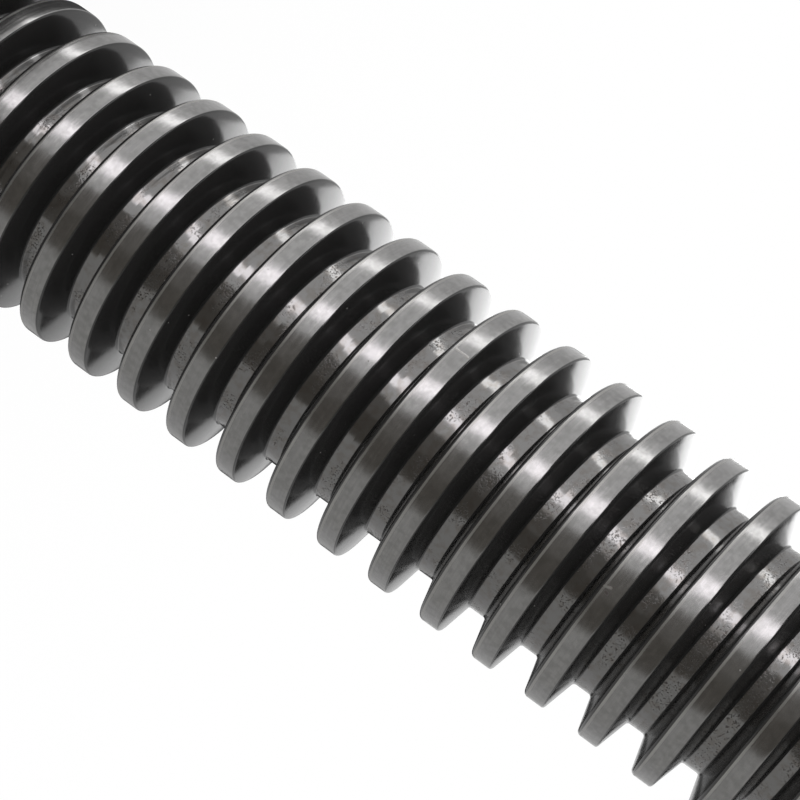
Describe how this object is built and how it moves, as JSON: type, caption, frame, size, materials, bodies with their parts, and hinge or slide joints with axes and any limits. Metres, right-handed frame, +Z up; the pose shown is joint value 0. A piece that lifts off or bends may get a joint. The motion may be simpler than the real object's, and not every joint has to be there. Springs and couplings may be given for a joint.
{
  "type": "trapezoidal lead screw",
  "caption": "Cut length of dark steel trapezoidal lead screw: a left-hand single-start thread from end to end, with plain flat ends and lead-in chamfers.",
  "frame": {"origin": "centre of the lower end face", "axes": "+Z up along the screw's axis; the thread's ridges cross the +X direction at whole multiples of the pitch above the lower end face"},
  "size_m": [0.024, 0.024, 0.1],
  "materials": {
    "dark_steel": "rolled and burnished dark steel, darker and faintly pitted in the grooves"
  },
  "bodies": {
    "root": {"lead_screw": "dark_steel"}
  },
  "joints": []
}
